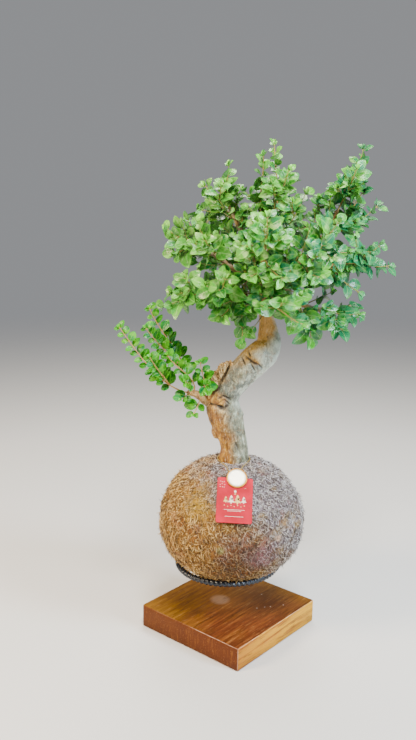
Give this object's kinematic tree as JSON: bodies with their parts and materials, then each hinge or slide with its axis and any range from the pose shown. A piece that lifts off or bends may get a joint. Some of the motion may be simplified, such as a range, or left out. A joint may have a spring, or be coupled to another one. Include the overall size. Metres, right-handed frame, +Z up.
{
  "type": "kokedama plant",
  "caption": "Small tree in a fibre-wrapped soil ball, held by a black ring stand on a square wooden block, with a red card on a cord.",
  "frame": {"origin": "centre of the wooden block's underside", "axes": "+Z up, X and Y along the block's sides; the picture looks from between +X and -Y, 40.7 degrees round from -Y"},
  "size_m": [0.2777, 0.2843, 0.6312],
  "materials": {
    "block_wood": "satin",
    "black_metal": "satin",
    "coir_fibre": "matte",
    "soil": "matte",
    "bark": "matte",
    "foliage": "satin",
    "red_card": "satin",
    "gold_metal": "polished",
    "gold_cord": "satin"
  },
  "bodies": {
    "root": {"base_block": "block_wood", "ring_stand": "black_metal", "fibre_wrap": "coir_fibre", "soil_core": "soil", "trunk": "bark", "tag_card": "red_card", "tag_medal": "gold_metal", "tag_cord": "gold_cord", "spray_01": "foliage", "spray_02": "foliage", "spray_03": "foliage", "spray_04": "foliage", "spray_05": "foliage", "spray_06": "foliage", "spray_07": "foliage", "spray_08": "foliage", "spray_09": "foliage", "spray_10": "foliage", "spray_11": "foliage", "spray_12": "foliage", "spray_13": "foliage", "spray_14": "foliage", "spray_15": "foliage", "spray_16": "foliage", "spray_17": "foliage", "spray_18": "foliage", "spray_19": "foliage", "spray_20": "foliage", "spray_21": "foliage", "spray_22": "foliage", "spray_23": "foliage", "spray_24": "foliage", "spray_25": "foliage", "spray_26": "foliage", "spray_27": "foliage", "spray_28": "foliage", "spray_29": "foliage", "spray_30": "foliage", "spray_31": "foliage", "spray_32": "foliage", "spray_33": "foliage", "spray_34": "foliage", "spray_35": "foliage", "spray_36": "foliage", "spray_37": "foliage", "spray_38": "foliage", "spray_39": "foliage", "spray_40": "foliage", "spray_41": "foliage"}
  },
  "joints": []
}
